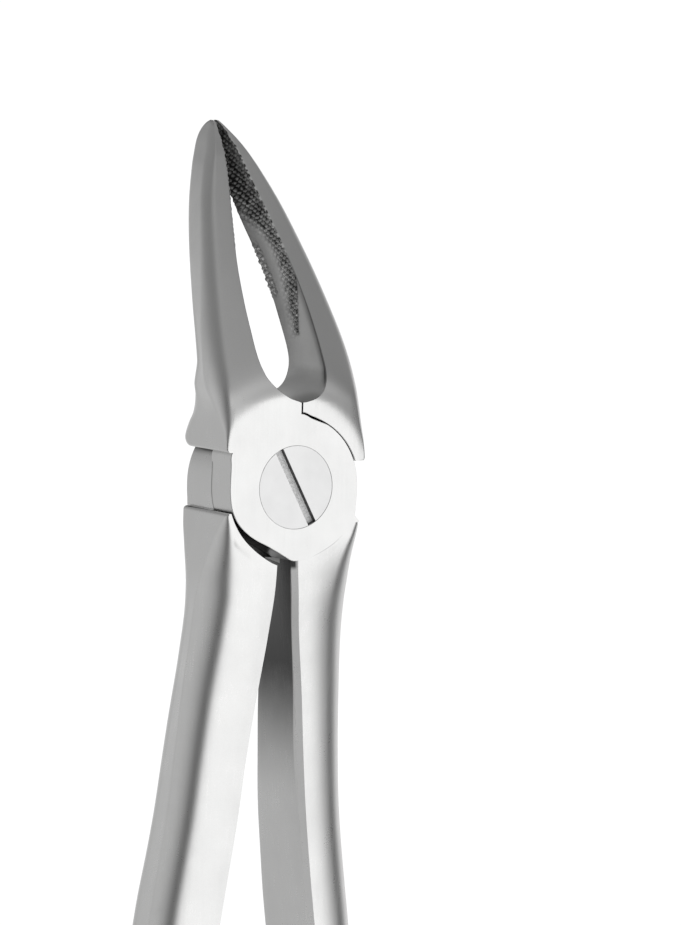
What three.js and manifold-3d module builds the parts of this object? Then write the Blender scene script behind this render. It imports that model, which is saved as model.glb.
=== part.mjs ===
// Extraction forceps for upper roots: two crossed forgings that turn on one slotted screw.
//
// Millimetres, +Z up towards the beaks, +X the way the right beak opens.
// The origin is on the pivot axis, at the flat back face of the joint, and -Y is the front.
// The front arm carries the left beak and the right handle, the rear arm the other two,
// and each keeps its own half of the joint's depth where they cross.

import * as THREE from 'three';
import { mergeVertices } from 'three/addons/utils/BufferGeometryUtils.js';
import Module from 'manifold-3d';

const wasm = await Module();
wasm.setup();

// Joint
const JOINT_DEPTH = 11;
const FRONT_SHARE = 4.5; // depth of the front arm's half of the joint
const RUNNING_GAP = 0.3; // left between the pieces wherever they meet
const DISC_RADIUS = 8.15;
const DISC_RELIEF_RADIUS = 17; // flatter edge of the disc beside its own handle
const DISC_RELIEF_CENTRE = [6.2, 7.2];
const BORE_RELIEF = 0.35; // extra radius of the recess behind the relieved edge
const FRONT_ARM_SHOULDER = 4.1; // height of the beak shoulder above the pivot, and of the handle's below
const REAR_ARM_SHOULDER = 2.9;
const PARTING_X = 0.55; // how far an arm reaches past the middle under the beaks
const REACH = 30; // oversize of the cutters

// Pivot screw
const HEAD_RADIUS = 4.8;
const HEAD_RIM = 1.4;
const HEAD_CONE = 1.6;
const SHANK_RADIUS = 2.6;
const SLOT_WIDTH = 1.1;
const SLOT_DEPTH = 1.1;
const SLOT_TURN = 28.5; // degrees from upright

// Beaks
const TIP_HEIGHT = 40.8;
const TIP_CENTRE_Y = 9.8;
const TIP_ROUND = 1.9;
const TIP_LEAST = 0.3; // half depth of the flat left at the very tip
const CROTCH_HEIGHT = 9.7;
const GOUGE_DEPTH = 0.75; // how far a beak's inner face is hollowed
const GOUGE_STEPS = 8;
const FRONT_STEPS = 4; // stretches of a beak's front from its inner edge to its round
const BEAK_ROUND = 0.8; // of the edge between a beak's front and its outer side
const BEAK_ROUND_REAR = 2.2;
const ROUND_STEPS = 5;

// Handles
const HANDLE_END = -133;
const END_ROUND = 6;
const END_NARROWING = 0.45; // share of its depth that a handle loses at each face on its rounded end
const EDGE_CHAMFER = 0.45;
const OUTER_SWELL = 0.35; // a handle's outer side stands out this much further at the back

// Each line below lists [height, value] pairs along an arm. Both arms share them, mirrored.
const beakOuter = [[2, 9.2], [5.5, 9.15], [9.2, 8.85], [14.5, 8.55], [18, 8.2], [21.5, 7.65], [25, 6.95],
  [28.5, 6.05], [32, 4.95], [35.6, 3.45], [37.3, 2.55], [39.1, 1.6], [TIP_HEIGHT, 0.5]];
const beakInner = [[14.7, 4.3], [18, 4.25], [21, 4.05], [25, 3.55], [30, 2.5], [35, 1.35], [38.5, 0.75],
  [TIP_HEIGHT, 0.16]];
const beakInnerRear = [[14.7, 4.25], [18, 3.85], [21, 3.5], [25, 2.8], [30, 1.6], [35, 0.8], [38.5, 0.4],
  [TIP_HEIGHT, 0.16]];
const beakRear = [[2, 0], [7, 0], [9.6, -0.6], [12, -1], [14, -0.9], [16, -0.3], [18.6, 0.8], [24, 3.5],
  [30, 6.9], [39, 11.9], [TIP_HEIGHT + 1, 13.4]];
// Foot of the beaks' inner edge, down to the middle between them. The rear arm's is the tighter one.
const frontFoot = [[CROTCH_HEIGHT, -PARTING_X], [9.8, -0.3], [10.2, 0.9], [11.1, 2.3], [11.9, 3.15],
  [12.9, 3.85]];
const rearFoot = [[CROTCH_HEIGHT, -PARTING_X], [9.75, 0.9], [10.35, 2.7], [11.3, 3.7], [12.9, 4.2]];
// The beaks' front is turned about the pivot, so its pairs are [distance from the pivot, y].
const beakFront = [[2, -11], [10.2, -11], [11.7, -10.85], [13.4, -10.2], [15.1, -9.05], [20, -5.7], [39, 7.3],
  [44, 10.7]];

const handleOuter = [[HANDLE_END, 14.5], [-120, 16.1], [-105, 17.1], [-88, 16.8], [-70, 14.7], [-50, 11.85],
  [-39, 10.25], [-31.5, 9.6], [-24, 9.1], [-16, 8.6], [-9, 8.6], [-2, 8.95]];
const handleInner = [[HANDLE_END, 8.8], [-120, 10.2], [-105, 11.0], [-88, 10.6], [-70, 8.6], [-50, 5.65],
  [-39, 4.1], [-31.5, 3.2], [-24, 2.25], [-17, 1.0], [-13, 0.4], [-9, 0], [-2, 0]];
const handleInnerFar = [[HANDLE_END, 9.0], [-120, 10.4], [-105, 11.2], [-88, 10.8], [-70, 8.7], [-50, 5.75],
  [-39, 4.2], [-31.5, 3.5], [-24, 2.75], [-17, 2.2], [-9, 1.9], [-2, 1.8]];
const handleFront = [[HANDLE_END, -8.6], [-110, -7.6], [-80, -7.0], [-50, -7.15], [-39, -7.5], [-31.5, -7.95],
  [-24, -8.75], [-17, -9.9], [-12, -10.8], [-8, -11], [-2, -11]];
const handleRear = [[HANDLE_END, 1.6], [-110, 3.2], [-80, 4.2], [-50, 4.0], [-43, 3.5], [-35, 2.9], [-28, 2.1],
  [-20, 0.8], [-13, 0], [-2, 0]];
const handleRound = [[HANDLE_END, 2.4], [-50, 2.4], [-20, 2.6], [-12, 2.9], [-8, 2.3], [-5, 1.0], [-2.9, 0.2]];

// A smooth line through [height, value] pairs.
function along(pairs, height) {
  const last = pairs.length - 1;
  let i = pairs.findIndex((pair, k) => k > 0 && height <= pair[0]);
  i = (i < 0 ? last : i) - 1;
  const slope = (k) => {
    const a = Math.max(k - 1, 0);
    const b = Math.min(k + 1, last);
    return (pairs[b][1] - pairs[a][1]) / (pairs[b][0] - pairs[a][0]);
  };
  const step = pairs[i + 1][0] - pairs[i][0];
  const t = THREE.MathUtils.clamp((height - pairs[i][0]) / step, 0, 1);
  const bend0 = slope(i) * step;
  const bend1 = slope(i + 1) * step;
  const rise = pairs[i + 1][1] - pairs[i][1];
  const middle = t * t * (3 * rise - 2 * bend0 - bend1);
  return pairs[i][1] + t * bend0 + middle + t ** 3 * (bend0 + bend1 - 2 * rise);
}

// Points of a quarter turn in a corner, given where it starts and ends from the corner.
function quarter(corner, start, end) {
  const points = [];
  for (let k = 0; k <= ROUND_STEPS; k += 1) {
    const turn = (Math.PI / 2) * (k / ROUND_STEPS);
    const keep = 1 - Math.sin(turn);
    const grow = 1 - Math.cos(turn);
    points.push([corner[0] + start[0] * keep + end[0] * grow, corner[1] + start[1] * keep + end[1] * grow]);
  }
  return points;
}

// A level section through a beak, from its inner front corner.
function beakOutline(height, isFront) {
  const foot = isFront ? frontFoot : rearFoot;
  const low = height < CROTCH_HEIGHT;
  const outer = along(beakOuter, height);
  const inner = low ? -PARTING_X : along([...foot, ...beakInner], height);
  const innerRear = low ? -PARTING_X : along([...foot, ...beakInnerRear], height);
  const intoTip = Math.max(height - (TIP_HEIGHT - TIP_ROUND), 0);
  const halfTip = Math.sqrt(Math.max(TIP_ROUND ** 2 - intoTip ** 2, TIP_LEAST ** 2));
  const plainRear = along(beakRear, height);
  const rear = intoTip > 0 ? Math.min(TIP_CENTRE_Y + halfTip, plainRear) : plainRear;
  const frontAt = (x) => {
    const plain = Math.max(along(beakFront, Math.hypot(x, height)), -JOINT_DEPTH);
    return intoTip > 0 ? Math.max(plain, TIP_CENTRE_Y - halfTip) : plain;
  };
  const thick = outer - inner;
  const round = Math.min(BEAK_ROUND, thick * 0.3);
  const roundRear = Math.min(BEAK_ROUND_REAR, thick * 0.45, (rear - frontAt(outer)) * 0.4);
  const points = [[inner, frontAt(inner)]];
  for (let k = 1; k < FRONT_STEPS; k += 1) {
    const x = inner + (outer - round - inner) * (k / FRONT_STEPS);
    points.push([x, frontAt(x)]);
  }
  for (const [x, drop] of quarter([outer, 0], [-round, 0], [0, round])) {
    points.push([x, frontAt(x) + drop]);
  }
  points.push(...quarter([outer, rear], [0, -roundRear], [-roundRear, 0]));
  points.push([innerRear, rear]);
  const hollow = height < CROTCH_HEIGHT + 1 ? 0 : Math.min(GOUGE_DEPTH, thick * 0.3);
  for (let k = 1; k < GOUGE_STEPS; k += 1) {
    const t = k / GOUGE_STEPS;
    const x = innerRear + (inner - innerRear) * t + hollow * Math.sin(Math.PI * t);
    points.push([x, rear + (frontAt(inner) - rear) * t]);
  }
  return points;
}

// A level section through a handle, from its inner front corner. Near the joint its inner face stands
// further in on the arm's own half: ownFront says which half that is.
function handleOutline(height, ownFront) {
  const intoEnd = Math.max(HANDLE_END + END_ROUND - height, 0) / END_ROUND;
  const shrink = 1 - Math.sqrt(Math.max(1 - intoEnd ** 2, 0.02));
  const near = along(handleInner, height);
  const far = along(handleInnerFar, height);
  const plainOuter = along(handleOuter, height);
  const squeeze = (plainOuter - near) * 0.5 * shrink;
  const outer = plainOuter - squeeze;
  const plainFront = Math.max(along(handleFront, height), -JOINT_DEPTH);
  const depth = along(handleRear, height) - plainFront;
  const front = plainFront + depth * END_NARROWING * shrink;
  const rear = along(handleRear, height) - depth * END_NARROWING * shrink;
  const innerFront = (ownFront ? near : far) + squeeze;
  const innerRear = (ownFront ? far : near) + squeeze;
  const round = Math.min(along(handleRound, height), (outer - innerFront) * 0.45, (rear - front) * 0.45);
  const edge = Math.min(EDGE_CHAMFER, (outer - innerFront) * 0.2);
  const swell = OUTER_SWELL * (1 - shrink);
  const points = [[innerFront, front + edge], [innerFront + edge, front]];
  points.push(...quarter([outer, front], [-round, 0], [0, round]));
  points.push(...quarter([outer + swell, rear], [0, -round], [-round, 0]));
  points.push([innerRear + edge, rear], [innerRear, rear - edge]);
  return points;
}

// A closed skin over a stack of level outlines. side is -1 for an outline mirrored to the left.
function loft(heights, outlineAt, side) {
  const rings = heights.map((height) => {
    const ring = outlineAt(height).map(([x, y]) => [side * x, y, height]);
    return side < 0 ? ring.reverse() : ring;
  });
  const count = rings[0].length;
  const index = [];
  for (let k = 0; k < rings.length - 1; k += 1) {
    for (let j = 0; j < count; j += 1) {
      const a = k * count + j;
      const b = k * count + ((j + 1) % count);
      index.push(a, b, b + count, a, b + count, a + count);
    }
  }
  const flat = (ring) => ring.map(([x, y]) => new THREE.Vector2(x, y));
  const capOf = (ring) => THREE.ShapeUtils.triangulateShape(flat(ring), []);
  const top = (rings.length - 1) * count;
  for (const [a, b, c] of capOf(rings[0])) {
    index.push(c, b, a);
  }
  for (const [a, b, c] of capOf(rings[rings.length - 1])) {
    index.push(top + a, top + b, top + c);
  }
  const geometry = new THREE.BufferGeometry();
  geometry.setAttribute('position', new THREE.Float32BufferAttribute(rings.flat(2), 3));
  geometry.setIndex(index);
  return geometry;
}

// A geometry as a body that can be joined and cut.
function solid(geometry) {
  const bare = geometry.clone();
  bare.deleteAttribute('normal');
  bare.deleteAttribute('uv');
  const merged = mergeVertices(bare, 1e-5);
  const mesh = new wasm.Mesh({
    numProp: 3,
    vertProperties: new Float32Array(merged.attributes.position.array),
    triVerts: new Uint32Array(merged.index.array),
  });
  return new wasm.Manifold(mesh);
}

function geometryOf(manifold) {
  const mesh = manifold.getMesh();
  const geometry = new THREE.BufferGeometry();
  geometry.setAttribute('position', new THREE.BufferAttribute(mesh.vertProperties, 3));
  geometry.setIndex(new THREE.BufferAttribute(mesh.triVerts, 1));
  return geometry;
}

function box(x0, x1, y0, y1, z0, z1) {
  const geometry = new THREE.BoxGeometry(x1 - x0, y1 - y0, z1 - z0);
  geometry.translate((x0 + x1) / 2, (y0 + y1) / 2, (z0 + z1) / 2);
  return solid(geometry);
}

// A round bar along the pivot axis.
function bar(radius, y0, y1, x = 0, z = 0, sides = 72) {
  const geometry = new THREE.CylinderGeometry(radius, radius, y1 - y0, sides);
  geometry.translate(x, (y0 + y1) / 2, z);
  return solid(geometry);
}

// A turned body about the pivot axis, from [radius, y] pairs that start and end on the axis.
function turned(pairs, sides = 64) {
  return solid(new THREE.LatheGeometry(pairs.map(([r, y]) => new THREE.Vector2(r, y)), sides));
}

const SPLIT_FRONT = -JOINT_DEPTH + FRONT_SHARE; // back of the front arm's disc
const SPLIT_REAR = SPLIT_FRONT + RUNNING_GAP; // front of the rear arm's disc

// Heights of the outlines that the arms are drawn through
const beakHeights = [2, 5.5, 8, CROTCH_HEIGHT, 9.75, 9.8, 9.95, 10.2, 10.5, 10.9, 11.4, 12, 12.8, 13.8, 15.2,
  17, 19, 21.5, 24, 26.5, 29, 31.5, 34, 36, 37.5, 38.7, 39.5, 40.1, 40.5, TIP_HEIGHT];
const handleHeights = [HANDLE_END, HANDLE_END + 0.4, HANDLE_END + 1.2, HANDLE_END + 2.6, HANDLE_END + 4.2,
  HANDLE_END + END_ROUND, -120, -112, -104, -96, -88, -79, -70, -60, -50, -43, -36, -30, -25, -21, -17, -13.5,
  -11, -9, -6, -2];

// One arm: its beak and handle joined by its half of the joint, with room for the other arm's half.
function arm(isFront) {
  const side = isFront ? 1 : -1; // the side of its handle
  const shoulder = isFront ? FRONT_ARM_SHOULDER : REAR_ARM_SHOULDER;
  const ownHalf = isFront ? [-JOINT_DEPTH, SPLIT_FRONT] : [SPLIT_REAR, 0];
  const otherHalf = isFront ? [SPLIT_FRONT, REACH] : [-REACH, SPLIT_REAR];
  const recess = DISC_RADIUS + RUNNING_GAP;

  const beak = solid(loft(beakHeights, (height) => beakOutline(height, isFront), -side))
    .subtract(box(-REACH, REACH, -REACH, REACH, -REACH, shoulder));
  const handle = solid(loft(handleHeights, (height) => handleOutline(height, isFront), side))
    .subtract(box(-REACH, REACH, -REACH, REACH, -shoulder, REACH));
  const disc = bar(DISC_RADIUS, ...ownHalf)
    .intersect(bar(DISC_RELIEF_RADIUS, ...ownHalf, side * DISC_RELIEF_CENTRE[0], DISC_RELIEF_CENTRE[1], 160));

  const underBeaks = isFront ? [-PARTING_X - RUNNING_GAP, REACH] : [-REACH, PARTING_X + RUNNING_GAP];
  const aboveShoulder = box(-REACH, REACH, -REACH, REACH, -shoulder, REACH);
  const otherDisc = bar(recess, ...otherHalf)
    .add(bar(recess + BORE_RELIEF, ...otherHalf).subtract(aboveShoulder));
  return beak
    .subtract(box(...underBeaks, ...otherHalf, 0, CROTCH_HEIGHT + 0.05))
    .add(handle)
    .subtract(otherDisc)
    .add(disc);
}

// The screw's profile, or with extra that of its way through the arms.
const head = -JOINT_DEPTH;
const screwPairs = (extra) => [
  [0, head - (extra ? REACH : 0)],
  [HEAD_RADIUS + extra, head - (extra ? REACH : 0)],
  [HEAD_RADIUS + extra, head + HEAD_RIM + extra],
  [SHANK_RADIUS + extra, head + HEAD_RIM + HEAD_CONE + extra],
  [SHANK_RADIUS + extra, extra ? REACH : 0],
  [0, extra ? REACH : 0],
];
const screwWay = turned(screwPairs(RUNNING_GAP));

// The screw with its slot sawn across the head.
function pivotScrew() {
  const slot = new THREE.BoxGeometry(SLOT_WIDTH, 2 * SLOT_DEPTH, 4 * HEAD_RADIUS);
  slot.rotateY(-THREE.MathUtils.degToRad(SLOT_TURN));
  slot.translate(0, head, 0);
  return turned(screwPairs(0)).subtract(solid(slot));
}

const forceps = new THREE.Group();

function addPiece(name, manifold, finish) {
  const mesh = new THREE.Mesh(geometryOf(manifold), new THREE.MeshStandardMaterial(finish));
  mesh.name = name;
  forceps.add(mesh);
}

const satinSteel = { color: 0xb9babb, roughness: 0.38, metalness: 1 };
addPiece('front_arm', arm(true).subtract(screwWay), satinSteel);
addPiece('rear_arm', arm(false).subtract(screwWay), satinSteel);
addPiece('pivot_screw', pivotScrew(), { color: 0xd6d7d8, roughness: 0.25, metalness: 1 });

export default forceps;
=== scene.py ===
"""Extraction forceps: two satin steel arms in a lap joint, turning on a polished slotted screw.

The pieces are modelled in millimetres and brought to metres last. +Z is up towards the beaks,
-Y is the front, and the pivot axis runs along Y through the origin, on the joint's back face.
"""

import math

import bmesh
import bpy
from bpy.props import FloatProperty, FloatVectorProperty, PointerProperty
from mathutils import Matrix, Vector


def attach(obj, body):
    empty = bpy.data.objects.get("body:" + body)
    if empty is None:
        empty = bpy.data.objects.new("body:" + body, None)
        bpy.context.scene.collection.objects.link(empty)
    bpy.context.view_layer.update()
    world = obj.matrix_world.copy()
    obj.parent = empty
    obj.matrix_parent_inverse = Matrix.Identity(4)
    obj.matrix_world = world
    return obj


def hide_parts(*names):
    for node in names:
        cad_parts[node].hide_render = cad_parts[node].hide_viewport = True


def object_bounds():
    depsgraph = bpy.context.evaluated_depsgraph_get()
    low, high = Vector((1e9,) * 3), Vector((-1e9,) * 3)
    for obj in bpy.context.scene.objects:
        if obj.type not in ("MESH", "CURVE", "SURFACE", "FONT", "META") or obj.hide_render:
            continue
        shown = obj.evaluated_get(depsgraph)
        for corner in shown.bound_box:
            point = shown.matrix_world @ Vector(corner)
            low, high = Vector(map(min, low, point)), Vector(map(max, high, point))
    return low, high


bl_info = {
    "name": "Extraction Forceps",
    "version": (1, 0, 0),
    "blender": (4, 5, 0),
    "location": "View3D > Sidebar > Forceps",
    "description": "Builds the arms, the pivot screw and the stage of a pair of extraction forceps",
    "category": "Object",
}

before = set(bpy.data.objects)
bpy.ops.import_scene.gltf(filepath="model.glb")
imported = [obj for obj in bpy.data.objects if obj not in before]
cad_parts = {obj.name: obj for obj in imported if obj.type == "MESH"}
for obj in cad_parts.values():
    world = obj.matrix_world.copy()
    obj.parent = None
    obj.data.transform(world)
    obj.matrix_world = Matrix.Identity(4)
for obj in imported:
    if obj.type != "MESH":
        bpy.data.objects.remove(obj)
CAD_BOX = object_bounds()

MM = 0.001
MERGE = 0.002  # points closer than this are merged, in mm
SHARP = math.radians(32)  # edges sharper than this stay crisp

# Joint
FRONT_FACE = -11.0
SPLIT_FRONT = -6.46  # back of the front arm's half
SPLIT_REAR = -6.28  # front of the rear arm's half
# Edge of the front arm's half: [degrees round the pivot from +X, radius]. The rear arm's is mirrored.
DISC_EDGE = [(-180, 8.62), (-172, 8.62), (-165, 8.64), (-160, 8.6), (-152, 8.48), (-138, 8.04),
             (-127, 7.72), (-116, 7.55), (-105, 7.72), (-97, 8.1), (-90, 8.5), (-60, 8.4), (-32, 8.7),
             (-26, 8.95), (-23, 8.66), (-19, 8.5), (-13, 8.3), (0, 8.16), (60, 8.18), (68, 8.08),
             (76, 8.12), (84, 8.42), (95, 8.5), (150, 9.3), (156, 9.4), (163, 8.98), (168, 8.78),
             (174, 8.66), (180, 8.62)]
# Edge of the room that the rear arm leaves for it. The front arm's is mirrored.
RECESS_EDGE = [(-180, 8.78), (-130, 8.78), (-116, 8.88), (-104, 9.12), (-90, 9.2), (-30, 9), (-5, 8.4),
               (15, 8.27), (60, 8.27), (76, 8.35), (84, 8.6), (95, 8.6), (150, 8.78), (180, 8.78)]
RECESS_GAP = 0.12  # clearance that the recess's line already holds
RECESS_FLARE = 3.0  # how far a recess's cutter flares past the joint's face
CUTTER_SIDES = 360
GROUND_CENTRE = (-0.75, 0.2)  # of the ground round on the joint's front, x and z
SHOULDER = {"front": 4.1, "rear": 2.9}
PARTING_X = 0.55
REACH = 30.0
END_EDGE = 0.42  # round of the shoulders' edges
EDGE_RINGS = (0, 0.05, 0.15, 0.35, 0.6)  # rings in that round, as shares of it
# Fill between the front arm's joint half and its handle, and the degrees where it comes and goes
CORNER_FILL = 0.55
CORNER_FILL_START = (-22.6, -25.2)
CORNER_FILL_END = (-28.5, -26)

# Pivot screw
HEAD_RADIUS = 4.8
HEAD_RIM = 1.4
HEAD_CONE = 1.6
SHANK_RADIUS = 2.6
SCREW_EDGE = 0.03
SCREW_SIDES = 192
WAY_SIDES = 128
WAY_FLARE = 1.5  # how far the screw's way runs past the joint's faces

# Beaks: [height, value] pairs
TIP_HEIGHT = 40.8
TIP_START = 36.8
TIP_CENTRE_Y = 10.4
CROTCH_HEIGHT = 9.7
GOUGE_DEPTH = 0.75
GOUGE_STEEPNESS = {"rear": 2.2, "front": 6}  # of the hollow's two walls
THIN = 0.5  # thickness under which a beak carries no teeth
BEAK_OUTER = [(2, 9.2), (5.5, 9.15), (9.2, 8.85), (14.5, 8.55), (18, 8.2), (21.5, 7.65), (25, 6.95),
              (28.5, 6.05), (32, 4.95), (35.6, 3.45), (37.3, 2.55), (39.1, 1.6), (TIP_HEIGHT, 0.5)]
BEAK_INNER = [(14.7, 4.3), (18, 4.25), (21, 4.05), (25, 3.55), (30, 2.5), (35, 1.35), (38.5, 0.75),
              (TIP_HEIGHT, 0.16)]
BEAK_INNER_REAR = [(14.7, 4.25), (18, 3.85), (21, 3.5), (25, 2.8), (30, 1.6), (35, 0.8), (38.5, 0.4),
                   (TIP_HEIGHT, 0.16)]
BEAK_REAR = [(2, 0), (7, 0), (9.6, -0.6), (12, -1), (14, -0.9), (16, -0.3), (18.6, 0.8), (24, 3.5),
             (30, 6.9), (39, 11.9), (TIP_HEIGHT + 1, 13.4)]
BEAK_FOOT = {
    "front": [(CROTCH_HEIGHT, -PARTING_X), (9.8, -0.3), (10.2, 0.9), (11.1, 2.3), (11.9, 3.15),
              (12.9, 3.85)],
    "rear": [(CROTCH_HEIGHT, -PARTING_X), (9.75, 0.9), (10.35, 2.7), (11.3, 3.7), (12.9, 4.2)],
}
BEAK_REAR_ROUND = [(2, 2.4), (4.1, 2.4), (5, 1.6), (6, 1.9), (7, 2.5), (8, 3.1), (10, 2.6), (11.5, 1.6),
                   (14, 2), (18, 2.1), (TIP_HEIGHT + 1, 1.9)]
# The round between a beak's front and its outer side: its share of each, and how far it stands out
BEAK_BEND_X = [(2, 0.3), (4.1, 0.3), (6, 0.6), (9, 1.3), (11.5, 1.6), (16, 1.5), (21.5, 1.4), (27, 1.3),
               (35, 0.9), (38, 0.45), (TIP_HEIGHT + 1, 0.15)]
BEAK_BEND_Y = [(2, 0.3), (4.1, 0.3), (6, 0.7), (9, 2.2), (11.5, 3.2), (16, 2.9), (21.5, 2.2), (27, 1.8),
               (TIP_HEIGHT + 1, 1.5)]
BEAK_FLARE = [(2, 0), (6, 0), (9, 0.5), (11.5, 0.88), (16, 0.75), (21.5, 0.36), (27, 0.12), (35, 0.1),
              (TIP_HEIGHT + 1, 0)]
# The beaks' front is turned about the ground round's centre: [distance from it, y]
BEAK_FRONT = [(2, -11), (9.9, -11), (10.5, -10.93), (11.5, -10.62), (13.4, -9.95), (15.1, -9), (20, -5.7),
              (39, 7.3), (44, 10.7)]

# Heights of a beak's rings: [from, to, distance apart]
BEAK_RINGS = [(9.6, CROTCH_HEIGHT, 0.05), (CROTCH_HEIGHT, 9.745, 0.015), (9.75, 10.4, 0.05),
              (10.4, 13, 0.13), (13, 15, 0.25), (15, TIP_HEIGHT - 0.4, 0.1),
              (TIP_HEIGHT - 0.4, TIP_HEIGHT, 0.05)]

# Serration of the beaks' inner faces, in a frame that leans back with the beak
LEAN = math.radians(32)
TEETH_ORIGIN = -12.45
TEETH_START = 12.7
TEETH_SKEW = 0.6  # how far the two rows of ridges are turned
# Middle line and half width of the serration: a number and its [from, to, change] steps up the beak
TEETH_LINE = (2.6, (9.5, 23, -3.7), (24, 35, 1.1))
TEETH_HALF = (0.55, (12, 20, 1.1), (23, 31, 1.5))
TEETH_REAR_FADE = 0.25
TEETH_FRONT_FADE = (-0.6, 1.5)
REAR_TEETH = (18.2, 25.5)  # reach of the teeth along the rear edge
REAR_TEETH_WIDTH = 0.14

# Handles: [height, value] pairs
HANDLE_END = -133
END_ROUND = 6
END_DEPTH = 0.45  # share of a handle's depth that each side draws in at its end
END_RINGS = 14
GRIP_START = -22  # below it a handle changes slowly
FINE_RINGS = 0.35
GRIP_RINGS = 1.2
EDGE_CHAMFER = 0.45
# Chamfer of the inner front edge, across the front and along the inner side
FRONT_CHAMFER = {"front": (0.62, 0.56), "rear": (0.25, 0.85)}
HANDLE_OUTER = [(HANDLE_END, 14.5), (-120, 16.1), (-105, 17.1), (-88, 16.8), (-70, 14.7), (-50, 11.85),
                (-39, 10.25), (-31.5, 9.6), (-24, 9.1), (-16, 8.6), (-9, 8.6), (-2, 8.95)]
HANDLE_INNER = [(HANDLE_END, 8.8), (-120, 10.2), (-105, 11), (-88, 10.6), (-70, 8.6), (-50, 5.65),
                (-39, 4.1), (-31.5, 3.2), (-24, 2.25), (-17, 1), (-13, 0.4), (-9, 0), (-2, 0)]
HANDLE_INNER_FAR = [(HANDLE_END, 9), (-120, 10.4), (-105, 11.2), (-88, 10.8), (-70, 8.7), (-50, 5.75),
                    (-39, 4.2), (-31.5, 3.5), (-24, 2.75), (-17, 2.2), (-9, 1.9), (-2, 1.8)]
HANDLE_FRONT = [(HANDLE_END, -8.6), (-110, -7.6), (-80, -7), (-50, -7.15), (-39, -7.5), (-31.5, -7.95),
                (-24, -8.75), (-17, -9.9), (-12, -10.8), (-8, -11), (-2, -11)]
HANDLE_REAR = [(HANDLE_END, 1.6), (-110, 3.2), (-80, 4.2), (-50, 4), (-43, 3.5), (-35, 2.9), (-28, 2.1),
               (-20, 0.8), (-13, 0), (-2, 0)]
HANDLE_ROUND = [(HANDLE_END, 2.4), (-50, 2.4), (-20, 2.6), (-12, 2.8), (-8, 1.7), (-5, 0.8), (-2.9, 0.2)]
# How far back from the front a handle's flat outer side begins, and how crowned its front is
HANDLE_SIDE = [(HANDLE_END, 4.2), (-50, 4.7), (-30, 5), (-14, 5.7), (-11.8, 5.4), (-8.3, 4),
               (-5.3, 2.2), (-4, 1.2), (-2.9, 0.3), (-2, 0.3)]
SIDE_LEAN = 0.13  # of the round where it meets the flat side
TURN_WIDTH = 0.54  # share of the width that the round may take
TURN_DEPTH = 0.75  # reach of the round across the front, as a share of its depth
BOW_FRONT = 0.66  # how strongly the round leaves the front, and the side
BOW_SIDE = 0.56
TURN_STEPS = 26
CROWN_BEND = 0.62
CROWN_START = 0.2  # share of the width that stays flat beside the inner edge
HANDLE_CROWN = [(HANDLE_END, 1), (-22, 1), (-16, 0.95), (-11, 0.7), (-8, 0.3), (-5.5, 0), (-2, 0)]
HANDLE_FLARE = [(HANDLE_END, 0.3), (-105, 0.3), (-85, 0.35), (-60, 0.8), (-20, 0.85), (-12, 0.85),
                (-8.3, 0.6), (-5.5, 0.35), (-4.5, 0.2), (-2.9, 0), (-2, 0)]
HANDLE_SWELL = [(HANDLE_END, 0.22), (-24, 0.35), (-16, 0.5), (-12, 0.55), (-9, 0.4), (-7, 0.25), (-5, 0.05),
                (-2.9, -0.3), (-2, -0.3)]

# Finishes
GAP_SHADE = 0.05  # what is left of the steel's brightness in a gap, and in the screw's slot
SLOT_SHADE = 0.08
PARTING_SHADE = -6.45  # middle of the dark line between the joint's halves
BLAST_DEPTH = 0.00002
SAW_DEPTH = 0.00003

# Camera
AZIMUTH = math.radians(-30.2)
ELEVATION = math.radians(5)
ROLL = math.radians(1.7)
CAMERA_DISTANCE = 1.2
VIEW_HEIGHT = 0.10632
SIDE_SHIFT = 0.007864
UP_SHIFT = 0.002352
SENSOR = 36.0

# Light: [degrees round the object, brightness], by way of its left, front and right
SURROUND = [(-180, 0.55), (-150, 0.43), (-130, 0.54), (-112, 0.42), (-98, 0.3), (-84, 0.13), (-66, 0.11),
            (-55, 0.4), (-43, 0.95), (-20, 1.07), (30, 1.07), (43, 0.98), (52, 0.45), (61, 0.12),
            (72, 0.1), (84, 0.28), (100, 0.65), (125, 0.75), (150, 0.65), (180, 0.55)]
CEILING_RISE = (0.08, 0.5)
CEILING_SHARE = 0.15
CEILING_LIGHT = 0.16
LIGHT_STRENGTH = 1.18
FLOOR_SIZE = 16
FLOOR_GAP = 0.0004
FLOOR_GLOW = 0.75


class ForcepsSizes(bpy.types.PropertyGroup):
    """Sizes of the fits and of the fine work"""

    recess_clearance: FloatProperty(
        name="Recess Clearance", description="Gap between a half of the joint and its recess, in mm",
        default=0.14, min=0.02, max=0.3)
    parting_gap: FloatProperty(
        name="Parting Gap", description="Gap between the arms under the beaks, in mm",
        default=0.12, min=0.02, max=0.3)
    screw_clearance: FloatProperty(
        name="Screw Clearance", description="Gap round the pivot screw, in mm",
        default=0.018, min=0.01, max=0.2)
    edge_break: FloatProperty(
        name="Edge Break", description="Chamfer on the machined edges, in mm",
        default=0.07, min=0.02, max=0.4)
    tooth_pitch: FloatProperty(
        name="Tooth Pitch", description="Distance between the beaks' teeth, in mm",
        default=0.7, min=0.4, max=1.5)
    tooth_depth: FloatProperty(
        name="Tooth Depth", description="Depth of the beaks' teeth, in mm",
        default=0.22, min=0.0, max=0.4)
    slot_width: FloatProperty(
        name="Slot Width", description="Width of the screw's slot, in mm", default=1.1, min=0.4, max=2)
    slot_depth: FloatProperty(
        name="Slot Depth", description="Depth of the screw's slot, in mm", default=0.75, min=0.4, max=1.4)
    slot_turn: FloatProperty(
        name="Slot Turn", description="Angle of the slot from upright", subtype="ANGLE",
        default=math.radians(28.5))


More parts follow.
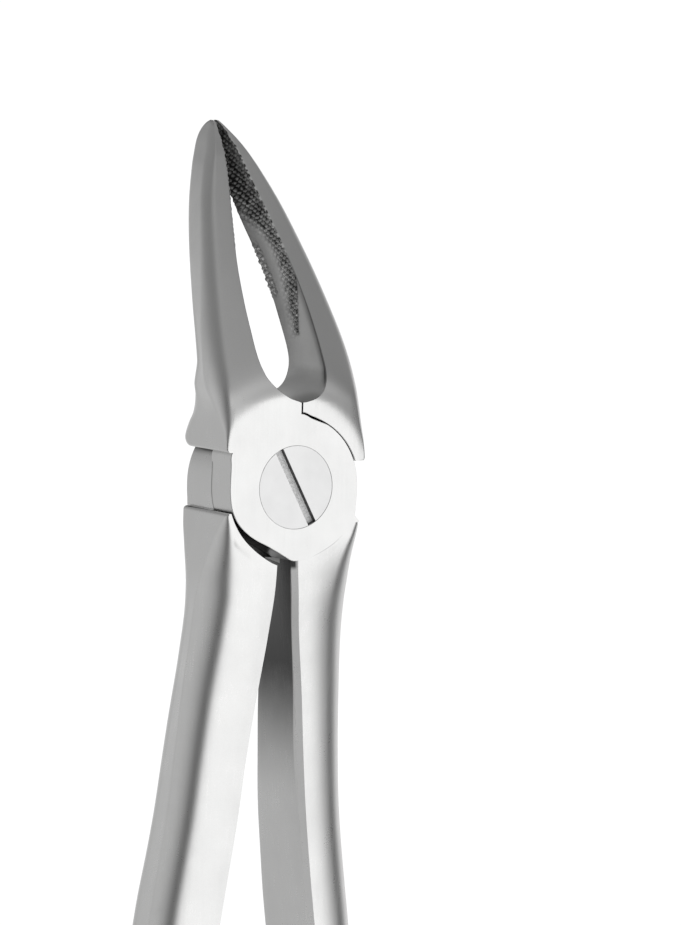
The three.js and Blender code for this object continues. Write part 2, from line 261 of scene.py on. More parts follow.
class ForcepsFinish(bpy.types.PropertyGroup):
    """Colours and polish of the steel"""

    steel: FloatVectorProperty(
        name="Steel", description="Colour of the satin steel", subtype="COLOR", size=3, min=0, max=1,
        default=(0.79, 0.79, 0.785))
    screw: FloatVectorProperty(
        name="Screw", description="Colour of the screw's steel", subtype="COLOR", size=3, min=0, max=1,
        default=(0.7, 0.7, 0.7))
    satin: FloatProperty(
        name="Satin", description="Roughness of the blasted steel", subtype="FACTOR",
        default=0.3, min=0, max=1)
    ground: FloatProperty(
        name="Ground", description="Roughness of the joint's ground faces", subtype="FACTOR",
        default=0.24, min=0, max=1)


# Outlines

def along(pairs, height):
    """The value at a height on a smooth line through [height, value] pairs."""
    last = len(pairs) - 1
    i = next((k for k in range(1, last + 1) if height <= pairs[k][0]), last) - 1

    def slope(k):
        a, b = pairs[max(k - 1, 0)], pairs[min(k + 1, last)]
        return (b[1] - a[1]) / (b[0] - a[0])

    step = pairs[i + 1][0] - pairs[i][0]
    t = min(max((height - pairs[i][0]) / step, 0), 1)
    bend0, bend1 = slope(i) * step, slope(i + 1) * step
    rise = pairs[i + 1][1] - pairs[i][1]
    return (pairs[i][1] + t * bend0 + t * t * (3 * rise - 2 * bend0 - bend1)
            + t ** 3 * (bend0 + bend1 - 2 * rise))


def quarter(corner, start, end, steps):
    """Points of a quarter turn in a corner, given where it starts and ends from the corner."""
    points = []
    for k in range(steps + 1):
        turn = math.pi / 2 * k / steps
        keep, grow = 1 - math.sin(turn), 1 - math.cos(turn)
        points.append((corner[0] + start[0] * keep + end[0] * grow,
                       corner[1] + start[1] * keep + end[1] * grow))
    return points


def spread(start, end, count):
    """Points between two points, without the ends."""
    return [(start[0] + (end[0] - start[0]) * k / count, start[1] + (end[1] - start[1]) * k / count)
            for k in range(1, count)]


def inset(points, amount):
    """An outline drawn in by the same amount all round, but for its front."""
    result = []
    for k, (x, y) in enumerate(points):
        before, after = points[k - 1], points[(k + 1) % len(points)]
        run = Vector((after[0] - before[0], after[1] - before[1])).normalized()
        result.append((x - run.y * amount, y + min(run.x, 0) * amount))
    return result


def smooth(value, low, high):
    """0 at low, 1 at high, and smooth between them."""
    t = min(max((value - low) / (high - low), 0), 1)
    return t * t * (3 - 2 * t)


def stepped(table, value, ease):
    """A number that changes smoothly by a table's [from, to, change] steps."""
    start, *changes = table
    return sum((ease(value, low, high) * change for low, high, change in changes), start)


def leaning(y, z):
    """Distances up and across a beak's inner face."""
    return (y * math.sin(LEAN) + z * math.cos(LEAN),
            y * math.cos(LEAN) - z * math.sin(LEAN) - TEETH_ORIGIN)


def ridge_lines(up, across):
    """Distances across the two crossing rows of ridges."""
    return up + across * TEETH_SKEW, across - up * TEETH_SKEW


def teeth_cover(up, across, ease, rear_fade, foot_fade):
    """How fully the serration is there, from 0 to 1. ease works on numbers or on sockets."""
    off = across - stepped(TEETH_LINE, up, ease)
    half = stepped(TEETH_HALF, up, ease)
    return (ease(half + off, -rear_fade, TEETH_REAR_FADE) * ease(half - off, *TEETH_FRONT_FADE)
            * ease(up, TEETH_START, TEETH_START + foot_fade))


def tooth(y, z, t, sizes):
    """Height of the serration on a beak's inner face. t is 0 at the rear edge and 1 at the front one."""
    up, across = leaning(y, z)
    if up < TEETH_START:
        return 0
    cover = teeth_cover(up, across, smooth, 0.05, 0.5)
    cover *= 0.4 + 0.6 * smooth(1 - t, 0, 0.04)  # lower beside the front edge
    if REAR_TEETH[0] < up < REAR_TEETH[1]:
        ends = min(up - REAR_TEETH[0], REAR_TEETH[1] - up, 1)
        cover = max(cover, smooth(REAR_TEETH_WIDTH - t, 0, 0.05) * ends)
    ridges = [abs(2 * ((line / sizes.tooth_pitch) % 1) - 1) for line in ridge_lines(up, across)]
    return sizes.tooth_depth * min(min(ridges) * 1.4, 1) * cover  # 1.4 gives the ridges flat tops


def beak_outline(height, kind, sizes):
    """A level section through a beak, from its inner front corner, for an arm on the right."""
    foot = BEAK_FOOT[kind]
    low = height < CROTCH_HEIGHT
    outer = along(BEAK_OUTER, height)
    inner = -PARTING_X if low else along(foot + BEAK_INNER, height)
    inner_rear = -PARTING_X if low else along(foot + BEAK_INNER_REAR, height)
    rear = along(BEAK_REAR, height)
    into_tip = min(max((height - TIP_START) / (TIP_HEIGHT - TIP_START), 0), 0.985)
    draw_in = 1 - math.sqrt(1 - into_tip ** 2)
    mirror = -1 if kind == "front" else 1

    def front_at(x):
        reach = math.hypot(mirror * x - GROUND_CENTRE[0], height - GROUND_CENTRE[1])
        plain = max(along(BEAK_FRONT, reach), FRONT_FACE)
        return plain + (TIP_CENTRE_Y - plain) * draw_in

    rear += (TIP_CENTRE_Y - rear) * draw_in
    outer -= (outer - inner) * 0.3 * draw_in
    thick = outer - inner
    wide = outer + along(BEAK_FLARE, height)
    bend_x = min(along(BEAK_BEND_X, height), thick * 0.4)
    bend_y = min(along(BEAK_BEND_Y, height), (rear - front_at(outer)) * 0.4)
    bend_rear = min(along(BEAK_REAR_ROUND, height), thick * 0.45, (rear - front_at(outer)) * 0.4)
    edge = min(0.1, thick * 0.1)
    points = [(inner + edge, front_at(inner + edge))]
    for k in range(1, 10):
        x = inner + edge + (wide - bend_x - inner - edge) * k / 10
        points.append((x, front_at(x)))
    for x, drop in quarter((wide, 0), (-bend_x, 0), (0, bend_y), 12):
        points.append((x, front_at(x) + drop))
    side_rear = (outer, rear - bend_rear)
    points += spread(points[-1], side_rear, 8)
    points += quarter((outer, rear), (0, -bend_rear), (-bend_rear, 0), 12)
    points += spread(points[-1], (inner_rear + edge, rear), 5)
    points.append((inner_rear + edge, rear))
    hollow = min(GOUGE_DEPTH, thick * 0.3) if not low else 0
    hollow *= smooth(height, CROTCH_HEIGHT, CROTCH_HEIGHT + 4)
    front = front_at(inner)
    slices = 72
    for k in range(slices + 1):
        t = k / slices
        y = rear + (front - rear) * t
        y = min(max(y, front + edge), rear - edge)
        steep = GOUGE_STEEPNESS["rear" if t < 0.5 else "front"]
        x = inner_rear + (inner - inner_rear) * t + hollow * (1 - abs(2 * t - 1) ** steep)
        if thick > THIN:
            x -= tooth(y, height, t, sizes) * min((thick - THIN) / THIN, 1)
        points.append((x, y))
    return points


def handle_outline(height, own_front):
    """A level section through a handle. Its inner side is wider in the arm's own half."""
    into_end = max(HANDLE_END + END_ROUND - height, 0) / END_ROUND
    shrink = 1 - math.sqrt(max(1 - into_end ** 2, 0.02))
    near, far = along(HANDLE_INNER, height), along(HANDLE_INNER_FAR, height)
    plain_outer = along(HANDLE_OUTER, height)
    squeeze = (plain_outer - near) * 0.5 * shrink
    outer = plain_outer - squeeze
    plain_front = max(along(HANDLE_FRONT, height), FRONT_FACE)
    depth = along(HANDLE_REAR, height) - plain_front
    front = plain_front + depth * END_DEPTH * shrink
    rear = along(HANDLE_REAR, height) - depth * END_DEPTH * shrink
    inner_front = (near if own_front else far) + squeeze
    inner_rear = (far if own_front else near) + squeeze
    width = outer - inner_front
    bend = min(along(HANDLE_ROUND, height), width * 0.45, (rear - front) * 0.45)
    edge = min(EDGE_CHAMFER, width * 0.2)
    keep = 1 - shrink
    swell = along(HANDLE_SWELL, height) * keep
    wide = outer + along(HANDLE_FLARE, height) * keep
    side_start = front + min(along(HANDLE_SIDE, height), (rear - front) * 0.6)
    crown = max(along(HANDLE_CROWN, height), 0) * keep

    def past_flat(x):
        return max((x - inner_front) / width - CROWN_START, 0)

    def drop(x):
        return crown * CROWN_BEND / 2 * past_flat(x) ** 2 * width

    turn_x = wide - min(width * TURN_WIDTH, (side_start - front) * TURN_DEPTH)
    chamfer = FRONT_CHAMFER["front" if own_front else "rear"]
    chamfer_x, chamfer_y = (size * edge / EDGE_CHAMFER for size in chamfer)
    points = [(inner_front, front + chamfer_y), (inner_front + chamfer_x, front)]
    for k in range(1, 9):
        x = inner_front + chamfer_x + (turn_x - inner_front - chamfer_x) * k / 9
        points.append((x, front + drop(x)))
    turn_y = front + drop(turn_x)
    slope = crown * CROWN_BEND * past_flat(turn_x)
    pull_x, pull_y = (wide - turn_x) * BOW_FRONT, (side_start - turn_y) * BOW_SIDE
    bow_x, bow_y = turn_x + pull_x, turn_y + slope * pull_x
    end_x, end_y = wide - pull_y * SIDE_LEAN, side_start - pull_y
    for k in range(TURN_STEPS + 1):
        t = k / TURN_STEPS
        a, b, c, d = (1 - t) ** 3, 3 * t * (1 - t) ** 2, 3 * t * t * (1 - t), t ** 3
        points.append((a * turn_x + b * bow_x + c * end_x + d * wide,
                       a * turn_y + b * bow_y + c * end_y + d * side_start))
    points.append((wide, side_start + min(0.05, (rear - side_start) * 0.05)))
    corner = quarter((outer + swell, rear), (0, -bend), (-bend, 0), 14)
    points += spread(points[-1], corner[0], 8) + corner
    corner = quarter((inner_rear, rear), (edge, 0), (0, -edge), 4)
    points += spread(points[-1], corner[0], 6) + corner
    points += spread(points[-1], points[0], 8)
    return points


# Modelling

def deselect():
    """Leaves nothing selected."""
    if bpy.context.object and bpy.context.object.mode != "OBJECT":
        bpy.ops.object.mode_set(mode="OBJECT")
    bpy.ops.object.select_all(action="DESELECT")


def lay_ring(piece, outline, height, before):
    """Lays the selected face on an outline. before is where the outline's first point was."""
    work = bmesh.from_edit_mesh(piece.data)
    cap = next(face for face in work.faces if face.select)
    ring = [loop.vert for loop in cap.loops]
    if before is not None:
        first = min(range(len(ring)), key=lambda k: (ring[k].co - before).length_squared)
        ring = ring[first:] + ring[:first]
    for vertex, (x, y) in zip(ring, outline):
        vertex.co = (x, y, height)
    bmesh.update_edit_mesh(piece.data)
    return ring[0].co.copy()


def draw_out(name, heights, outline_at, side, edge):
    """Draws a bar out from height to height, by extruding its end face onto each outline.

    The first heights are drawn in by a round of the size of edge.
    """
    deselect()
    outlines = []
    for height in heights:
        deep = min(abs(height - heights[0]) / edge, 1)
        drawn_in = edge * (1 - math.sqrt(1 - (1 - deep) ** 2))
        outlines.append(inset(outline_at(height), drawn_in) if deep < 1 else outline_at(height))
    bpy.ops.mesh.primitive_circle_add(vertices=len(outlines[0]), radius=1, fill_type="NGON",
                                      location=(0, 0, 0))
    piece = bpy.context.object
    piece.name = name
    bpy.ops.object.mode_set(mode="EDIT")
    bpy.ops.mesh.select_mode(type="FACE")
    bpy.ops.mesh.select_all(action="SELECT")
    before = None
    for height, outline in zip(heights, outlines):
        if before is not None:
            bpy.ops.mesh.extrude_region()
        before = lay_ring(piece, [(side * x, y) for x, y in outline], height, before)
    bpy.ops.mesh.select_all(action="DESELECT")
    face_outwards()
    bpy.ops.object.mode_set(mode="OBJECT")
    return piece


def face_outwards():
    """Turns every face of the piece in edit mode outwards."""
    bpy.ops.mesh.select_all(action="SELECT")
    bpy.ops.mesh.normals_make_consistent(inside=False)


def block(x, y, z):
    """A box between two values each way."""
    deselect()
    bpy.ops.mesh.primitive_cube_add(
        size=1, location=[(a + b) / 2 for a, b in (x, y, z)], scale=[b - a for a, b in (x, y, z)])
    bpy.ops.object.transform_apply(location=True, rotation=True, scale=True)
    return bpy.context.object


def turned(profile, sides, edge_at=None):
    """A body turned about the pivot, from [radius, y] pairs, by extruding its face.

    With edge_at, the radius follows that line round the pivot, and the pairs' radii add to it.
    """
    deselect()
    bpy.ops.mesh.primitive_circle_add(vertices=sides, radius=1, fill_type="NGON",
                                      location=(0, 0, 0), rotation=(math.pi / 2, 0, 0))
    bpy.ops.object.transform_apply(location=True, rotation=True, scale=True)
    piece = bpy.context.object
    bpy.ops.object.mode_set(mode="EDIT")
    bpy.ops.mesh.select_mode(type="FACE")
    bpy.ops.mesh.select_all(action="SELECT")
    for step, (radius, y) in enumerate(profile):
        if step:
            bpy.ops.mesh.extrude_region()
        work = bmesh.from_edit_mesh(piece.data)
        cap = next(face for face in work.faces if face.select)
        for vertex in cap.verts:
            way = Vector((vertex.co.x, 0, vertex.co.z)).normalized()
            out = radius + (edge_at(way) if edge_at else 0)
            vertex.co = (way.x * out, y, way.z * out)
        bmesh.update_edit_mesh(piece.data)
    face_outwards()
    bpy.ops.object.mode_set(mode="OBJECT")
    return piece


def combine(piece, other, operation):
    """Joins, cuts or trims a piece with another, which is then removed."""
    deselect()
    piece.select_set(True)
    bpy.context.view_layer.objects.active = piece
    bpy.ops.object.modifier_add(type="BOOLEAN")
    modifier = piece.modifiers[-1]
    modifier.operation = operation
    modifier.solver = "MANIFOLD"
    modifier.object = other
    bpy.ops.object.modifier_apply(modifier=modifier.name)
    if not piece.data.polygons:
        raise RuntimeError(f"nothing is left of {piece.name}")
    bpy.data.objects.remove(other)


def finish_piece(piece, name, body, material):
    """Cleans a finished piece, brings it to metres, and gives it its body and finish."""
    deselect()
    piece.select_set(True)
    bpy.context.view_layer.objects.active = piece
    bpy.ops.object.mode_set(mode="EDIT")
    bpy.ops.mesh.select_all(action="SELECT")
    bpy.ops.mesh.remove_doubles(threshold=MERGE)
    bpy.ops.mesh.dissolve_degenerate(threshold=0.0005)
    face_outwards()
    bpy.ops.object.mode_set(mode="OBJECT")
    piece.scale = (MM, MM, MM)
    bpy.ops.object.transform_apply(location=True, rotation=True, scale=True)
    bpy.ops.object.shade_smooth_by_angle(angle=SHARP)
    piece.name = name + "_surface"
    piece.data.name = piece.name
    piece.data.materials.clear()
    piece.data.materials.append(material)
    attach(piece, body)
    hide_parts(name)


def steps(start, end, size):
    """Heights from start to just before end, about size apart."""
    count = max(round(abs(end - start) / size), 1)
    return [start + (end - start) * k / count for k in range(count)]


def screw_profile(extra):
    """[radius, y] pairs of the screw, or of its way through the arms when extra is above 0."""
    head, edge = FRONT_FACE, SCREW_EDGE
    if extra:
        return [(HEAD_RADIUS + extra + 0.1 + WAY_FLARE, head - WAY_FLARE),
                (HEAD_RADIUS + extra + 0.02, head), (HEAD_RADIUS + extra, head + 0.02),
                (HEAD_RADIUS + extra, head + HEAD_RIM + extra),
                (SHANK_RADIUS + extra, head + HEAD_RIM + HEAD_CONE + extra),
                (SHANK_RADIUS + extra, -0.06), (SHANK_RADIUS + extra + 0.06, 0),
                (SHANK_RADIUS + extra + 0.1 + WAY_FLARE, WAY_FLARE)]
    return [(HEAD_RADIUS - edge, head), (HEAD_RADIUS, head + edge), (HEAD_RADIUS, head + HEAD_RIM),
            (SHANK_RADIUS, head + HEAD_RIM + HEAD_CONE), (SHANK_RADIUS, -edge), (SHANK_RADIUS - edge, 0)]


def make_arm(kind, sizes, finish):
    """Models one arm: its beak, its handle, its half of the joint and the room for the other's."""
    front = kind == "front"
    side = 1 if front else -1
    shoulder = SHOULDER[kind]
    edge = sizes.edge_break
    heights = ([shoulder + END_EDGE * share for share in EDGE_RINGS]
               + steps(shoulder + END_EDGE, BEAK_RINGS[0][0], FINE_RINGS))
    for ring_span in BEAK_RINGS:
        heights += steps(*ring_span)
    heights.append(TIP_HEIGHT)
    piece = draw_out(kind + "_arm", heights, lambda z: beak_outline(z, kind, sizes), -side, END_EDGE)

    own = (FRONT_FACE, SPLIT_FRONT) if front else (SPLIT_REAR, 0)
    other = (SPLIT_FRONT, REACH) if front else (-REACH, SPLIT_REAR)
    reach = PARTING_X + sizes.parting_gap
    under = (-reach, REACH) if front else (-REACH, reach)
    combine(piece, block(under, other, (0, CROTCH_HEIGHT + 0.05)), "DIFFERENCE")

    heights = ([-shoulder - END_EDGE * share for share in EDGE_RINGS]
               + steps(-shoulder - END_EDGE, GRIP_START, FINE_RINGS)
               + steps(GRIP_START, HANDLE_END + END_ROUND, GRIP_RINGS))
    heights += [HANDLE_END + END_ROUND * (1 - math.sin(math.pi / 2 * k / END_RINGS))
                for k in range(END_RINGS + 1)]
    handle = draw_out("handle", heights, lambda z: handle_outline(z, front), side, END_EDGE)
    combine(piece, handle, "UNION")

    def line_round(table, turn, fill=0):
        def radius_at(way):
            angle = math.degrees(math.atan2(way.z, turn * way.x))
            filled = smooth(angle, *CORNER_FILL_START) * smooth(angle, *CORNER_FILL_END)
            return along(table, angle) + fill * filled
        return radius_at

    gap = sizes.recess_clearance - RECESS_GAP
    flare = RECESS_FLARE - edge
    if front:
        walls = [(gap, SPLIT_FRONT), (gap, -edge), (gap + edge, 0), (gap + RECESS_FLARE, flare)]
    else:
        walls = [(gap + RECESS_FLARE, FRONT_FACE - flare), (gap + edge, FRONT_FACE),
                 (gap, FRONT_FACE + edge), (gap, SPLIT_REAR)]
    combine(piece, turned(walls, CUTTER_SIDES, line_round(RECESS_EDGE, -side)), "DIFFERENCE")
    faces = [(-edge, own[0]), (0, own[0] + edge), (0, own[1] - edge), (-edge, own[1])]
    fill = CORNER_FILL if front else 0
    combine(piece, turned(faces, CUTTER_SIDES, line_round(DISC_EDGE, side, fill)), "UNION")
    combine(piece, turned(screw_profile(sizes.screw_clearance), WAY_SIDES), "DIFFERENCE")
    finish_piece(piece, kind + "_arm", kind + "_arm", satin_steel(finish, sizes))


def make_screw(sizes, finish):
    """Models the screw: a countersunk head with a sawn slot on a plain shank."""
    piece = turned(screw_profile(0), SCREW_SIDES)
    saw = block((-sizes.slot_width / 2, sizes.slot_width / 2),
                (FRONT_FACE - 1, FRONT_FACE + sizes.slot_depth), (-2 * HEAD_RADIUS, 2 * HEAD_RADIUS))
    deselect()
    saw.select_set(True)
    bpy.context.view_layer.objects.active = saw
    saw.rotation_euler = (0, -sizes.slot_turn, 0)
    bpy.ops.object.transform_apply(location=True, rotation=True, scale=True)
    combine(piece, saw, "DIFFERENCE")
    finish_piece(piece, "pivot_screw", "rear_arm", polished_steel(finish))


# Finishes

class Wire:
    """A socket of a node tree that can be used in sums."""

    def __init__(self, tree, socket):
        self.tree = tree
        self.socket = socket

    def node(self, kind, settings=None, values=None, out=0):
        """Adds a node, with its settings first and then its values or links, and wraps one output."""
        node = self.tree.nodes.new(kind)
        for key, value in (settings or {}).items():
            if key == "stops":
                while len(node.color_ramp.elements) < len(value):
                    node.color_ramp.elements.new(0.5)
                for element, (place, shade) in zip(node.color_ramp.elements, value):
                    element.position = place
                    element.color = (shade, shade, shade, 1)
            else:
                setattr(node, key, value)
        for key, value in (values or {}).items():
            if isinstance(value, Wire):
                self.tree.links.new(value.socket, node.inputs[key])
            else:
                node.inputs[key].default_value = value
        return Wire(self.tree, node.outputs[out] if len(node.outputs) else None)

    def sum(self, operation, a, b=0.0):
        """Adds a Math node on one or two values."""
        return self.node("ShaderNodeMath", {"operation": operation}, {0: a, 1: b})

    def parts(self):
        """The three numbers of this vector."""
        split = self.node("ShaderNodeSeparateXYZ", None, {0: self}).socket.node
        return [Wire(self.tree, output) for output in split.outputs]

    def __add__(self, other):
        return self.sum("ADD", self, other)

    def __sub__(self, other):
        return self.sum("SUBTRACT", self, other)

    def __rsub__(self, other):
        return self.sum("SUBTRACT", other, self)

    def __mul__(self, other):
        return self.sum("MULTIPLY", self, other)

    __radd__ = __add__
    __rmul__ = __mul__

    def size(self):
        return self.sum("ABSOLUTE", self)

    def between(self, low, high):
        """0 at low, 1 at high, and smooth between them."""
        return self.node("ShaderNodeMapRange", {"interpolation_type": "SMOOTHSTEP"},
                         {"Value": self, "From Min": low, "From Max": high})

    def noise(self, scale, detail=2.0, roughness=0.5, stretch=(1, 1, 1)):
        """Noise over this vector, from 0 to 1."""
        where = self.node("ShaderNodeMapping", None, {"Vector": self, "Scale": stretch})
        return self.node("ShaderNodeTexNoise", None,
                         {"Vector": where, "Scale": scale, "Detail": detail, "Roughness": roughness})


def new_finish(name):
    """A material with its surface shader, its place in millimetres and the way its surface faces."""
    material = bpy.data.materials.new(name)
    material.use_nodes = True
    tree = material.node_tree
    tree.nodes.clear()
    start = Wire(tree, None)
    shader = start.node("ShaderNodeBsdfPrincipled")
    start.node("ShaderNodeOutputMaterial", None, {"Surface": shader})
    coordinates = start.node("ShaderNodeTexCoord", None, None, "Object")
    place = start.node("ShaderNodeVectorMath", {"operation": "SCALE"}, {0: coordinates, "Scale": 1 / MM})
    facing = Wire(tree, coordinates.socket.node.outputs["Normal"])
    return material, shader, place, facing.parts()


def feed(shader, name, value):
    """Sets or links one socket of a shader."""
    socket = shader.socket.node.inputs[name]
    if isinstance(value, Wire):
        shader.tree.links.new(value.socket, socket)
    else:
        socket.default_value = value


def shaded(wire, colour, dark, amount):
    """A colour, made darker where amount is high."""
    fade = wire.node("ShaderNodeMix", {"data_type": "RGBA"},
                     {0: amount, 6: (1, 1, 1, 1), 7: (dark, dark, dark, 1)}, 2)
    return wire.node("ShaderNodeVectorMath", {"operation": "MULTIPLY"}, {0: colour, 1: fade})


def satin_steel(finish, sizes):
    """Blasted satin steel, ground bright on the joint's faces, with painted shade in its gaps, on the
    beaks' inner faces and in the serration.
    """
    if "blasted_satin" in bpy.data.materials:
        return bpy.data.materials["blasted_satin"]
    material, shader, place, (sideways, backwards, _) = new_finish("blasted_satin")
    x, y, z = place.parts()
    cx, cz = x - GROUND_CENTRE[0], z - GROUND_CENTRE[1]
    radius = x.sum("SQRT", cx * cx + cz * cz)
    flat = y.between(-10.7, -10.95) + y.between(-0.25, -0.04)
    face = flat * (1 - radius.between(9.4, 11.2))

    # Painted shade between the joint's halves, along the parting line and between the handles near it
    # inside is the painted shade in the joint's gaps
    inside = ((1 - flat) * (1 - radius.between(9.3, 9.9))
              * z.size().between(3.0, 4.2) * x.size().between(8.0, 7.5))
    behind_front = y - (z.between(-8, -34) * 3.5 + FRONT_FACE)
    handle_gap_shade = (sideways.size().between(0.9, 0.96) * x.size().between(6.0, 4.5)
               * behind_front.between(0.7, 1.0) * z.between(-38, -18) * z.between(-7.5, -8.5))
    parting_line_shade = ((y - PARTING_SHADE).size().between(0.45, 0.1) * z.size().between(2.9, 2.6)
               * radius.between(9.6, 9.2))

    # Painted shade on the beaks' inner faces: darker overall and towards their rear, beside their front
    # edge, and darkest in the grooves
    up, across = leaning(y, z)
    inner = ((x.size() + z * 0.25).between(10.9, 10.3) * sideways.size().between(0.35, 0.6)
             * z.between(10, 13))
    cover = teeth_cover(up, across, Wire.between, 0.1, 0.6)
    wander = place.noise(1.6, 1.0, 0.5) * 0.3
    cells = [line * (1 / sizes.tooth_pitch) + wander for line in ridge_lines(up, across)]
    ridges = [(cell.sum("FRACT", cell) * 2 - 1).size() for cell in cells]
    groove = ridges[0].sum("MINIMUM", *ridges).between(0.75, 0.1)
    row, column = (cell.sum("FLOOR", cell) for cell in cells)
    chance = up.node("ShaderNodeTexWhiteNoise", {"noise_dimensions": "3D"}, {0: up.node(
        "ShaderNodeCombineXYZ", None, {0: row, 1: column, 2: 0.0})})
    # Painted shade beside the inner faces' front edge
    front_edge_shade = (y - radius * 0.64 + 18.5).between(2.6, 0.8) * z.between(27, 20)
    # Painted shade in the grooves, random tone from tooth to tooth, and darker higher up the beak
    marks = groove * 0.75 + chance * 0.5 - 0.5 + up.between(22, 34) * 0.35
    # teeth holds the painted shade of the beaks' inner faces
    teeth = inner * (0.3 + front_edge_shade * 0.4 + backwards.between(0.02, 0.3) * 0.6 + cover * marks)

    grain = place.noise(9.0, 3.0, 0.6)
    fine = place.noise(26.0, 1.0, 0.5)
    brushed = place.noise(3.2, 2.0, 0.6, (1, 1, 0.05))
    cloud = place.noise(0.22, 3.0, 0.55)
    beak = z.between(9, 16) * 0.1
    rough = (finish.satin + (cloud - 0.5) * 0.08 + (brushed - 0.5) * 0.1 + (grain - 0.5) * 0.1 + beak
             - face * (finish.satin - finish.ground) + teeth * 0.12)
    # Painted shade from the masks above, and random tone from the grain and cloud noise
    dark = (inside * 0.9 + parting_line_shade * 0.6 + handle_gap_shade + teeth
            + (grain - 0.5) * 0.12 + (cloud - 0.5) * 0.1 + 0.05)
    colour = shaded(shader, tuple(finish.steel), GAP_SHADE, dark.sum("MAXIMUM", dark, 0.0))
    feed(shader, "Base Color", colour)
    feed(shader, "Metallic", 1.0)
    feed(shader, "Roughness", rough)
    height = (grain * 0.6 + fine * 0.4) * (1 - 0.7 * face) + brushed * 0.2
    bump = shader.node("ShaderNodeBump", None,
                       {"Strength": 0.25, "Distance": BLAST_DEPTH, "Height": height})
    feed(shader, "Normal", bump)
    return material


def polished_steel(finish):
    """Polished steel with fine turning marks, and a rougher sawn slot with painted shade on its walls and
    painted light on its pale, less metallic floor.
    """
    material, shader, place, (_, backwards, _) = new_finish("turned_polish")
    x, y, z = place.parts()
    radius = x.sum("SQRT", x * x + z * z)
    marks = radius.node("ShaderNodeCombineXYZ", None, {0: radius, 1: 0.0, 2: 0.0}).noise(14.0, 2.0, 0.6)
    slot = y.between(FRONT_FACE + 0.02, FRONT_FACE + 0.12)
    sawn = place.noise(7.0, 4.0, 0.7)
    cloud = place.noise(0.5, 2.0, 0.5)
    rough = (marks - 0.5) * 0.08 + (cloud - 0.5) * 0.05 + slot * (sawn * 0.3 + 0.1) + (finish.ground - 0.02)
    # Painted shade on the slot's sideways-facing walls
    wall = slot * backwards.size().between(0.7, 0.4)
    # Painted shade on the slot's walls, darker sawn marks in the slot, and random tone
    shade_and_stain = (slot * sawn.between(0.4, 0.65) * 0.45 + wall * 2.0
             + (cloud - 0.5) * 0.1 + (1 - slot) * 0.03)
    # Painted light: the slot's floor is pale and less metallic so that it reads bright
    steel = shader.node("ShaderNodeMix", {"data_type": "RGBA"},
                        {0: slot, 6: (*finish.screw, 1), 7: (0.97, 0.97, 0.97, 1)}, 2)
    feed(shader, "Base Color", shaded(shader, steel, SLOT_SHADE, shade_and_stain.sum("MAXIMUM", shade_and_stain, 0.0)))
    feed(shader, "Metallic", 1 - (slot - wall) * 0.75)
    feed(shader, "Roughness", rough)
    bump = shader.node("ShaderNodeBump", None,
                       {"Strength": 0.3, "Distance": SAW_DEPTH, "Height": marks * 0.15 + slot * sawn * 2.0})
    feed(shader, "Normal", bump)
    return material


# Stage

def make_stage():
    """Sets the floor, the soft light all round and the camera."""
    deselect()
    bpy.ops.mesh.primitive_plane_add(size=FLOOR_SIZE, location=(0, 0, CAD_BOX[0][2] - FLOOR_GAP))
    floor = bpy.context.object
    floor.name = "floor"
    floor.visible_glossy = False
    paint = bpy.data.materials.new("floor_paint")
    paint.use_nodes = True
    surface = paint.node_tree.nodes["Principled BSDF"]
    surface.inputs["Base Color"].default_value = (0.9, 0.9, 0.9, 1)
    surface.inputs["Roughness"].default_value = 0.9
    surface.inputs["Emission Color"].default_value = (1, 1, 1, 1)
    surface.inputs["Emission Strength"].default_value = FLOOR_GLOW
    floor.data.materials.append(paint)
    bpy.ops.object.transform_apply(location=True, rotation=True, scale=True)

    world = bpy.data.worlds.new("studio")
    bpy.context.scene.world = world
    world.use_nodes = True
    world.node_tree.nodes.clear()
    start = Wire(world.node_tree, None)
    way = start.node("ShaderNodeTexCoord", None, None, "Generated")
    x, y, z = way.parts()
    # Round the object from behind by way of its left, front and right to behind again
    angle = x.sum("ARCTAN2", x, 0 - y) * (1 / (2 * math.pi)) + 0.5
    stops = [((turn + 180) / 360, shade) for turn, shade in SURROUND]
    wall = angle.node("ShaderNodeValToRGB", {"stops": stops}, {0: angle})
    ceiling = z.between(*CEILING_RISE)
    light = wall * (1 - ceiling) + (wall * CEILING_SHARE + CEILING_LIGHT) * ceiling
    lit = start.node("ShaderNodeBackground", None, {"Color": light, "Strength": LIGHT_STRENGTH})
    white = start.node("ShaderNodeBackground", None, {"Color": (1, 1, 1, 1), "Strength": 1.0})
    seen = start.node("ShaderNodeLightPath", None, None, "Is Camera Ray")
    both = start.node("ShaderNodeMixShader", None, {0: seen, 1: lit, 2: white})
    start.node("ShaderNodeOutputWorld", None, {"Surface": both})

    back = Vector((math.sin(AZIMUTH) * math.cos(ELEVATION),
                   -math.cos(AZIMUTH) * math.cos(ELEVATION), math.sin(ELEVATION)))
    level = Vector((math.cos(AZIMUTH), math.sin(AZIMUTH), 0))
    upright = back.cross(level)
    right = level * math.cos(ROLL) + upright * math.sin(ROLL)
    up = upright * math.cos(ROLL) - level * math.sin(ROLL)
    middle = Vector((0, FRONT_FACE / 2 * MM, 0)) + right * SIDE_SHIFT + up * UP_SHIFT
    bpy.ops.object.camera_add()
    camera = bpy.context.object
    camera.name = "camera"
    axes = Matrix((right, up, back)).transposed().to_4x4()
    camera.matrix_world = Matrix.Translation(middle + back * CAMERA_DISTANCE) @ axes
    camera.data.sensor_width = SENSOR
    camera.data.lens = SENSOR * CAMERA_DISTANCE / VIEW_HEIGHT
    camera.data.clip_start = 0.01
    camera.data.clip_end = 100
    bpy.context.scene.camera = camera
    bpy.context.scene.view_settings.view_transform = "Standard"


# Add-on

class FORCEPS_OT_front_arm(bpy.types.Operator):
    """Model the front arm, with the left beak and the right handle"""

    bl_idname = "forceps.front_arm"
    bl_label = "Front Arm"

    def execute(self, context):
        make_arm("front", context.scene.forceps_sizes, context.scene.forceps_finish)
        return {"FINISHED"}


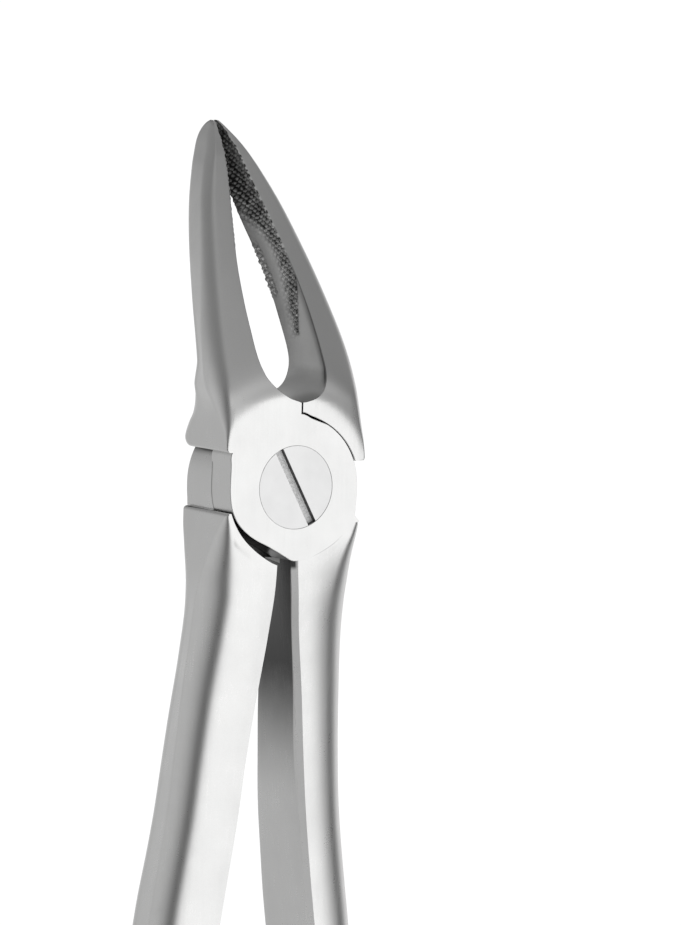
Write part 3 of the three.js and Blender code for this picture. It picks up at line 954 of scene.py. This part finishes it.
class FORCEPS_OT_rear_arm(bpy.types.Operator):
    """Model the rear arm, with the right beak and the left handle"""

    bl_idname = "forceps.rear_arm"
    bl_label = "Rear Arm"

    def execute(self, context):
        make_arm("rear", context.scene.forceps_sizes, context.scene.forceps_finish)
        return {"FINISHED"}


class FORCEPS_OT_pivot_screw(bpy.types.Operator):
    """Model the slotted screw that the arms turn on"""

    bl_idname = "forceps.pivot_screw"
    bl_label = "Pivot Screw"

    def execute(self, context):
        make_screw(context.scene.forceps_sizes, context.scene.forceps_finish)
        return {"FINISHED"}


class FORCEPS_OT_stage(bpy.types.Operator):
    """Set the floor, the light and the camera"""

    bl_idname = "forceps.stage"
    bl_label = "Stage"

    def execute(self, context):
        make_stage()
        return {"FINISHED"}


class FORCEPS_PT_panel(bpy.types.Panel):
    """Lists the sizes, the finishes and the pieces"""

    bl_idname = "FORCEPS_PT_panel"
    bl_label = "Extraction Forceps"
    bl_space_type = "VIEW_3D"
    bl_region_type = "UI"
    bl_category = "Forceps"

    def draw(self, context):
        layout = self.layout
        for group in (context.scene.forceps_sizes, context.scene.forceps_finish):
            for name in group.__annotations__:
                layout.prop(group, name)
        for operator in OPERATORS:
            layout.operator(operator.bl_idname)


OPERATORS = (FORCEPS_OT_front_arm, FORCEPS_OT_rear_arm, FORCEPS_OT_pivot_screw, FORCEPS_OT_stage)
CLASSES = (ForcepsSizes, ForcepsFinish) + OPERATORS + (FORCEPS_PT_panel,)


def register():
    for item in CLASSES:
        bpy.utils.register_class(item)
    bpy.types.Scene.forceps_sizes = PointerProperty(type=ForcepsSizes)
    bpy.types.Scene.forceps_finish = PointerProperty(type=ForcepsFinish)


def unregister():
    del bpy.types.Scene.forceps_sizes
    del bpy.types.Scene.forceps_finish
    for item in reversed(CLASSES):
        bpy.utils.unregister_class(item)


def main():
    """Builds everything in order."""
    register()
    bpy.ops.forceps.front_arm()
    bpy.ops.forceps.rear_arm()
    bpy.ops.forceps.pivot_screw()
    bpy.ops.forceps.stage()


if __name__ == "__main__":
    main()
